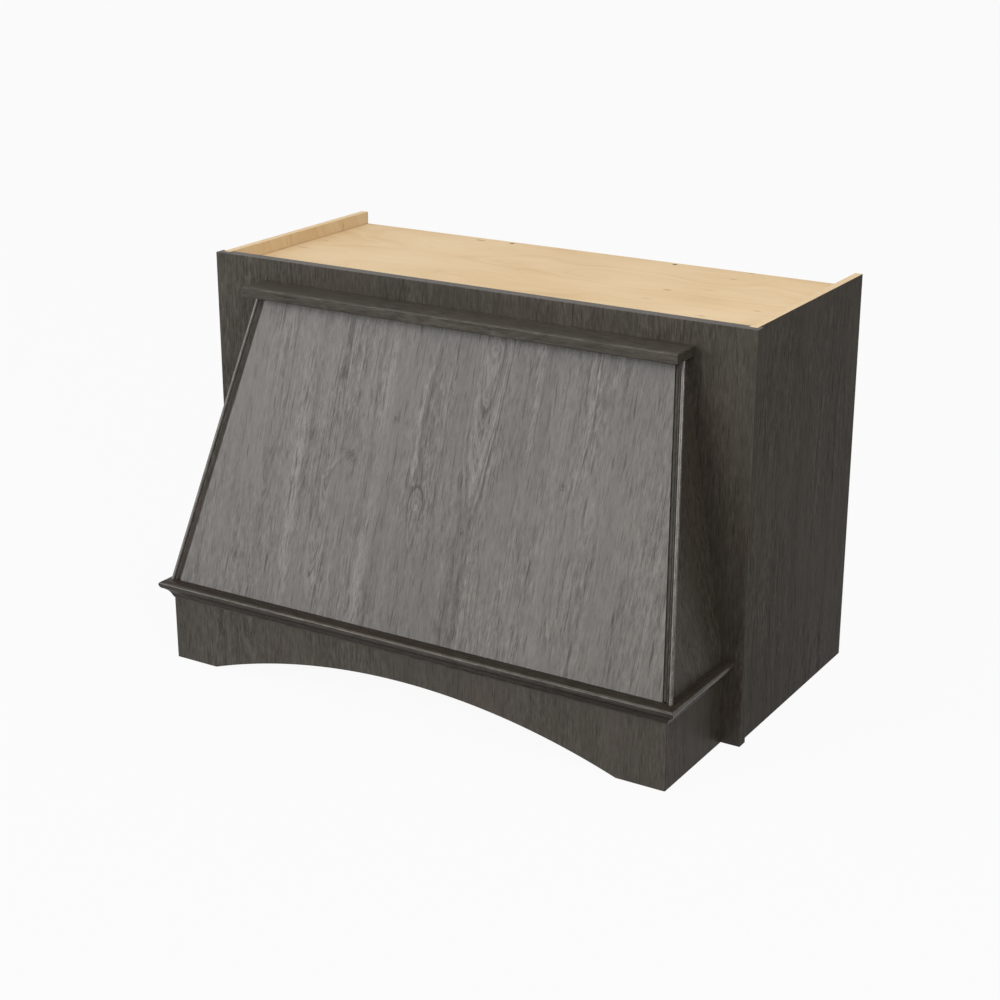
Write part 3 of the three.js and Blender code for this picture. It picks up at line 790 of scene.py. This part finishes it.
def arc(centre, radii, start, end, segments):
    points = []
    for step in range(segments + 1):
        angle = math.radians(start + (end - start) * step / segments)
        points.append((centre[0] + radii[0] * math.cos(angle),
                       centre[1] + radii[1] * math.sin(angle)))
    return points


def turnOutwards(mesh):
    shell = bmesh.new()
    shell.from_mesh(mesh)
    bmesh.ops.recalc_face_normals(shell, faces=shell.faces)
    shell.to_mesh(mesh)
    shell.free()


mouldingRun = makeMouldingRun()

baseMoulding = {
    "joint": 0.3 * mm,
    "height": 28 * mm,
    "noseProjection": 17 * mm,
    "noseDrop": 4.75 * mm,
    "noseDepth": 8.5 * mm,
    "noseInset": 7.3 * mm,
    "ledge": 7.5 * mm,
    "filletHeight": 1.4 * mm,
    "filletStep": 0.8 * mm,
    "lipHeight": 2.2 * mm,
    "lipProjection": 1.2 * mm,
    "coveSag": 0.9 * mm,
    "segments": 14,
}


def baseSection(lean):  # (out from the apron's plane, height), for a canopy that leans so much
    size = baseMoulding
    top = apronTop + mouldingLap
    bottom = top - size["height"]
    noseHeight = top - size["noseDrop"]
    fillet = size["noseProjection"] - size["noseInset"]
    low = Vector((size["lipProjection"] + size["filletStep"], bottom + size["lipHeight"]))
    high = Vector((fillet - size["filletStep"],
                   noseHeight - size["noseDepth"] - size["filletHeight"]))
    chord = high - low
    control = (low + high) / 2 + Vector((-chord.y, chord.x)).normalized() * 2 * size["coveSag"]
    steps = [step / size["segments"] for step in range(size["segments"] + 1)]
    cove = [tuple(low * (1 - t) ** 2 + control * 2 * t * (1 - t) + high * t ** 2) for t in steps]
    under = arc((fillet, noseHeight), (size["noseInset"], size["noseDepth"]), -90, 0,
                size["segments"])
    over = arc((size["ledge"], noseHeight),
               (size["noseProjection"] - size["ledge"], size["noseDrop"]), 0, 90,
               size["segments"])[1:]
    lip = [(size["joint"], bottom), (size["lipProjection"], bottom),
           (size["lipProjection"], bottom + size["lipHeight"])]
    back = [(size["joint"] - lean * mouldingLap, top), (size["joint"], apronTop)]
    # painted shade on the lip, in the cove, under the nose and on the nose's top; painted highlight
    # on the nose's front
    parts = ((lip, -0.2), (cove + [(fillet, high.y)], -1.0), (under[:-4], -1.0),
             (under[-4:], -0.5), (over[:6], 0.2), (over[6:], -1.0), (back, -1.0))
    return [(*point, wearAndPaintedLight) for points, wearAndPaintedLight in parts for point in points]


def addMoulding(name, points, wearAndPaintedLight, material, *replaced, **values):
    mesh = runTree(name, sectionFace(name + "_section", points, wearAndPaintedLight), mouldingRun,
                   {"Wood": material, **values})
    turnOutwards(mesh)
    return addPiece(name, mesh, "stained_oak", *replaced)


section = baseSection(frontLean)
addMoulding("base_moulding_front_run",
            [(-apronHalf, apronFrontY - out, z) for out, z, wearAndPaintedLight in section],
            [wearAndPaintedLight for *point, wearAndPaintedLight in section], railOak,
            "base_moulding_front", **{
                "Run": (2 * apronHalf, 0, 0), "Outward": (0, -1, 0),
                "Board Plane": -apronFrontY, "Start Mitre": 1.0, "End Mitre": 1.0})
for side, sign in (("left", -1), ("right", 1)):
    wallEnd = faceFrontY - baseMoulding["joint"]
    reach = wallEnd - apronFrontY - baseMoulding["joint"] * math.sqrt(2)
    section = baseSection(sideLean)
    addMoulding("base_moulding_run_" + side,
                [(sign * (apronHalf + out), wallEnd, z) for out, z, wearAndPaintedLight in section],
                [wearAndPaintedLight for *point, wearAndPaintedLight in section], returnRailOak, "base_moulding_" + side, **{
                    "Run": (0, -reach, 0), "Outward": (sign, 0, 0),
                    "Board Plane": apronHalf, "Start Mitre": 0.0, "End Mitre": 1.0})

cornerMoulding = {
    "leg": 12.5 * mm,  # from the bead's centre to a leg's edge
    "groove": 2.4 * mm,
    "bevelFoot": (9.0, -2.4),  # the slanted face: distance from the bead's centre, height
    "bevelHead": (6.6, 0.4),
    "crest": (3.8, 1.6),
    "quirkDepth": 0.4 * mm,
    "quirkInset": 0.1 * mm,
    "beadRadius": 3.1 * mm,
    "beadOut": 5 * mm,
    "beadProud": 0.9 * mm,
    "panelThickness": 12 * mm,
    "beadWrap": 310,
    "segments": 12,
}


def cornerSection():  # plan: x outside the canopy side's plane, y behind the sloped panel's
    size = cornerMoulding
    foot, head, crest = (Vector(size[key]) * mm for key in ("bevelFoot", "bevelHead", "crest"))
    # painted shade along the groove, the bevel and the quirk, lightest towards the crest
    leg = [(size["leg"], -size["groove"], -1.0), (*foot, -1.0), (*foot.lerp(head, 0.1), -0.4),
           (*head, -0.5), (*head.lerp(crest, 0.5), -0.6), (*crest, -0.5),
           (size["beadRadius"] - size["quirkInset"], -size["quirkDepth"], -1.0)]
    frontLeg = [(size["beadOut"] - x, -y, wearAndPaintedLight) for x, y, wearAndPaintedLight in leg]
    sideLeg = [(size["beadOut"] - size["beadProud"] + y, x - size["beadProud"], wearAndPaintedLight)
               for x, y, wearAndPaintedLight in reversed(leg)]
    count = 3 * size["segments"]
    bead = arc((size["beadOut"], -size["beadProud"]), (size["beadRadius"],) * 2,
               315 - size["beadWrap"] / 2, 315 + size["beadWrap"] / 2, count)
    # painted highlight along the bead's crest, painted shade at its two ends
    bead = [(*point, min(1.0, 1.8 - 2.6 * abs(2 * step / count - 1)))
            for step, point in enumerate(bead)]
    inside = size["panelThickness"] * math.hypot(1, frontLean)
    return [(size["beadOut"] - size["leg"], inside, 0.0), *frontLeg, *bead, *sideLeg,
            (size["beadOut"] - size["beadProud"] - size["groove"], inside, 0.0)]


for side, sign in (("left", -1), ("right", 1)):
    low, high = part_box("corner_moulding_" + side)
    rise = high.z - low.z
    edge = abs(sideFoot.x) - sideLean * (low.z - sideFoot.z)
    plane = panelFoot.y + frontLean * (low.z - panelFoot.z)
    section = cornerSection()
    addMoulding("corner_moulding_run_" + side,
                [(sign * (edge + x), plane + y, low.z) for x, y, wearAndPaintedLight in section],
                [wearAndPaintedLight for *point, wearAndPaintedLight in section], cornerOak, "corner_moulding_" + side, **{
                    "Run": (-sign * sideLean * rise, frontLean * rise, rise),
                    "Outward": (0, -1, 0), "Board Plane": 0.0,
                    "Start Mitre": 0.0, "End Mitre": 0.0})
print("mouldings done")


# Screws: one cross-head screw, set along rows by a tree

screw = {
    "deckLength": 38 * mm,
    "railLength": 30 * mm,  # through a rail or cleat into the board behind it
    "headRadius": 3.9 * mm,
    "headEdge": 0.35 * mm,
    "headHeight": 3 * mm,
    "shankRadius": 2 * mm,
    "tipLength": 6 * mm,
    "tipRadius": 0.4 * mm,
    "crossReach": 2.2 * mm,
    "crossHalf": 0.45 * mm,
    "crossDepth": 1.3 * mm,
    "crossFloor": 0.55,  # the recess narrows to this share of its mouth
    "sides": 24,
    "proud": 0.3 * mm,  # of the rails and cleats
    "seed": 7,
    "railCount": 5,
    "railInset": 50 * mm,  # from the front rail's ends; half as much on the short ones
    "cleatHeights": (17 * mm, 57 * mm),
}


def screwMesh(length):
    size = screw
    body = bmesh.new()
    count = size["sides"]
    rings = []
    profile = ((size["headRadius"], 0.0), (size["headRadius"], -size["headEdge"]),
               (size["shankRadius"], -size["headHeight"]),
               (size["shankRadius"], size["tipLength"] - length),
               (size["tipRadius"], -length))
    for radius, z in profile:
        turn = [2 * math.pi * step / count for step in range(count)]
        rings.append([body.verts.new((radius * math.cos(a), radius * math.sin(a), z))
                      for a in turn])
    for upper, lower in zip(rings, rings[1:]):
        for step in range(count):
            after = (step + 1) % count
            body.faces.new((upper[step], lower[step], lower[after], upper[after]))
    body.faces.new(reversed(rings[-1]))
    reach, half = size["crossReach"], size["crossHalf"]
    corners = []
    for turns in range(4):
        for x, y in ((half, half), (half, reach), (-half, reach)):
            for _ in range(turns):
                x, y = -y, x
            corners.append((x, y))
    order = sorted(corners, key=lambda p: math.atan2(p[1], p[0]))
    rim = [body.verts.new((x, y, 0.0)) for x, y in order]
    floor = size["crossFloor"]
    pit = [body.verts.new((floor * x, floor * y, -size["crossDepth"])) for x, y in order]
    for step in range(len(order)):
        after = (step + 1) % len(order)
        body.faces.new((rim[step], rim[after], pit[after], pit[step]))
    body.faces.new(pit)
    loops = [[ring[step], ring[(step + 1) % len(ring)]] for ring in (rings[0], rim)
             for step in range(len(ring))]
    bmesh.ops.triangle_fill(body, use_beauty=True,
                            edges=[body.edges.get(pair) for pair in loops])
    bmesh.ops.recalc_face_normals(body, faces=body.faces)
    mesh = bpy.data.meshes.new("cross_head_screw")
    body.to_mesh(mesh)
    body.free()
    return mesh


def makeScrewRow():
    tree, given, result = newGroup(
        "screwRow", "GeometryNodeTree",
        {"Geometry": "Geometry", "First": "Vector", "Last": "Vector", "Count": "Int",
         "Turn": "Rotation", "Steel": "Material"},
        ("Screws",), "Geometry")
    tree.is_modifier = True
    row = addNode(tree, "GeometryNodeMeshLine",
                  {"Start Location": given["First"], "Offset": given["Last"],
                   "Count": given["Count"]}, mode="END_POINTS")[0]
    spin = addNode(tree, "FunctionNodeRandomValue", {"Max": 2 * math.pi, "Seed": screw["seed"]},
                   data_type="FLOAT")["Value"]
    spun = addNode(tree, "FunctionNodeAxisAngleToRotation", {"Angle": spin})[0]
    turned = addNode(tree, "FunctionNodeRotateRotation",
                     {"Rotation": given["Turn"], "Rotate By": spun}, rotation_space="LOCAL")[0]
    placed = addNode(tree, "GeometryNodeInstanceOnPoints",
                     {"Points": row, "Instance": given["Geometry"], "Rotation": turned})[0]
    finishTree(tree, placed, given["Steel"], result)
    return tree


screwRow = makeScrewRow()
headUp, headFront, headBack = (0, 0, 0), (quarter, 0, 0), (-quarter, 0, 0)
headSide = {"left": (0, quarter, 0), "right": (0, -quarter, 0)}  # inwards, from either side


def addScrews(name, length, rows, *replaced):
    joined = bmesh.new()
    for first, last, count, turn in rows:
        row = runTree(name, screwMesh(length), screwRow, {
            "First": first, "Last": last, "Count": count, "Turn": turn, "Steel": screwSteel})
        joined.from_mesh(row)
    mesh = bpy.data.meshes.new(name)
    joined.to_mesh(mesh)
    joined.free()
    mesh.materials.append(screwSteel)
    return addPiece(name, mesh, "black_steel", *replaced)


deckHeads = []
for low, high in (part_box("deck_screw_left"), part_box("deck_screw_right")):
    deckHeads.append(((low.x + high.x) / 2, (low.y + high.y) / 2, high.z))
addScrews("deck_screws", screw["deckLength"], [(*deckHeads, 2, headUp)],
          "deck_screw_left", "deck_screw_right")

low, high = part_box("insert_rail_front")
level = (low.z + high.z) / 2
behind = high.y + screw["proud"]
inset = screw["railInset"]
railRows = [((low.x + inset, behind, level), (high.x - inset, behind, level),
             screw["railCount"], headBack)]
cleatRows = []
for side, sign in (("left", 1), ("right", -1)):
    low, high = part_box("insert_rail_" + side)
    inner = (high.x if side == "left" else low.x) + sign * screw["proud"]
    railRows.append(((inner, low.y + inset / 2, level), (inner, high.y - inset / 2, level), 2,
                     headSide[side]))
    low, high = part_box("apron_return_cleat_" + side)
    middle = (low.x + high.x) / 2
    ahead = low.y - screw["proud"]
    first, last = ((middle, ahead, low.z + height) for height in screw["cleatHeights"])
    cleatRows.append((first, last, 2, headFront))
addScrews("insert_rail_screws", screw["railLength"], railRows)
addScrews("cleat_screws", screw["railLength"], cleatRows)
print("screws done")


# Studio: pale floor, soft light, the photograph's camera

studio = {
    "camera": (1.478, -2.4037, 1.263),
    "cameraTilt": 70.41,
    "cameraPan": 31.59,
    "lens": 70.5,
    "sensor": 36,
    "floorRadius": 18.0,
    "floorGap": 0.2 * mm,  # below the object
    "floorTone": 0.38,
    "floorGlow": 0.94,
    "worldStrength": 0.2,
    "backdropGlow": 0.96,
    "sunStrength": 1.3,
    "sunAngle": 60,
    "sunTurn": (12, 4, 0),
    "softboxes": {  # place, target, width, height, watts
        "front_softbox": ((-2.97, -5.14, 2.5), (0, -0.1, 0.35), 6.5, 4.4, 345),
        "right_softbox": ((2.7, -2.1, 2.2), (0.4, 0, 0.4), 1.6, 1.6, 70),
    },
}

viewer = bpy.data.cameras.new("camera")
viewer.lens = studio["lens"]
viewer.sensor_width = studio["sensor"]
viewer.clip_end = 60
camera = bpy.data.objects.new("camera", viewer)
camera.location = studio["camera"]
camera.rotation_euler = (math.radians(studio["cameraTilt"]), 0, math.radians(studio["cameraPan"]))
scene.collection.objects.link(camera)
scene.camera = camera


def seenDirectly(tree):  # by the camera, by itself or in a reflection
    path = tree.nodes.new("ShaderNodeLightPath")
    mirrored = addMath(tree, "MAXIMUM", path.outputs["Is Glossy Ray"],
                       path.outputs["Is Transmission Ray"])
    return addMath(tree, "MAXIMUM", path.outputs["Is Camera Ray"], mirrored)


def addFloor():
    radius = studio["floorRadius"]
    floorMesh = bpy.data.meshes.new("floor")
    rim = arc((0, 0), (radius, radius), 0, 360, 64)[:-1]
    floorMesh.from_pydata([(x, y, -studio["floorGap"]) for x, y in rim], [], [range(len(rim))])
    material, tree, shader = newMaterial("floor_white")
    shader.inputs["Base Color"].default_value = (*[studio["floorTone"]] * 3, 1)
    shader.inputs["Roughness"].default_value = 0.9
    shader.inputs["Specular IOR Level"].default_value = 0.0
    glow = times(tree, seenDirectly(tree), studio["floorGlow"])
    light = tree.nodes.new("ShaderNodeEmission").outputs[0]
    lit = addNode(tree, "ShaderNodeMixShader", {0: glow, 1: shader.outputs[0], 2: light})[0]
    below = tree.nodes.new("ShaderNodeNewGeometry").outputs["Backfacing"]
    clear = tree.nodes.new("ShaderNodeBsdfTransparent").outputs[0]  # the underside can be seen
    oneSided = addNode(tree, "ShaderNodeMixShader", {0: below, 1: lit, 2: clear})[0]
    feed(tree, tree.nodes["Material Output"].inputs["Surface"], oneSided)
    floorMesh.materials.append(material)
    floor = bpy.data.objects.new("floor", floorMesh)
    scene.collection.objects.link(floor)


def addSoftbox(name, place, target, width, height, power):
    lamp = bpy.data.lights.new(name, "AREA")
    lamp.shape = "RECTANGLE"
    lamp.size = width
    lamp.size_y = height
    lamp.energy = power
    box = bpy.data.objects.new(name, lamp)
    box.location = place
    box.rotation_euler = (Vector(target) - Vector(place)).to_track_quat("-Z", "Y").to_euler()
    scene.collection.objects.link(box)


def addSkylight():
    lamp = bpy.data.lights.new("skylight", "SUN")
    lamp.energy = studio["sunStrength"]
    lamp.angle = math.radians(studio["sunAngle"])
    sky = bpy.data.objects.new("skylight", lamp)
    sky.rotation_euler = [math.radians(angle) for angle in studio["sunTurn"]]
    scene.collection.objects.link(sky)


addFloor()
for name, settings in studio["softboxes"].items():
    addSoftbox(name, *settings)
addSkylight()
world = bpy.data.worlds.new("studio")
scene.world = world
world.use_nodes = True
backdrop = world.node_tree.nodes["Background"]
backdrop.inputs["Color"].default_value = (1, 1, 1, 1)
world.node_tree.links.new(
    addRemap(world.node_tree, seenDirectly(world.node_tree), 0.0, 1.0, studio["worldStrength"],
             studio["backdropGlow"]), backdrop.inputs["Strength"])
scene.view_settings.view_transform = "Standard"
print("studio done")
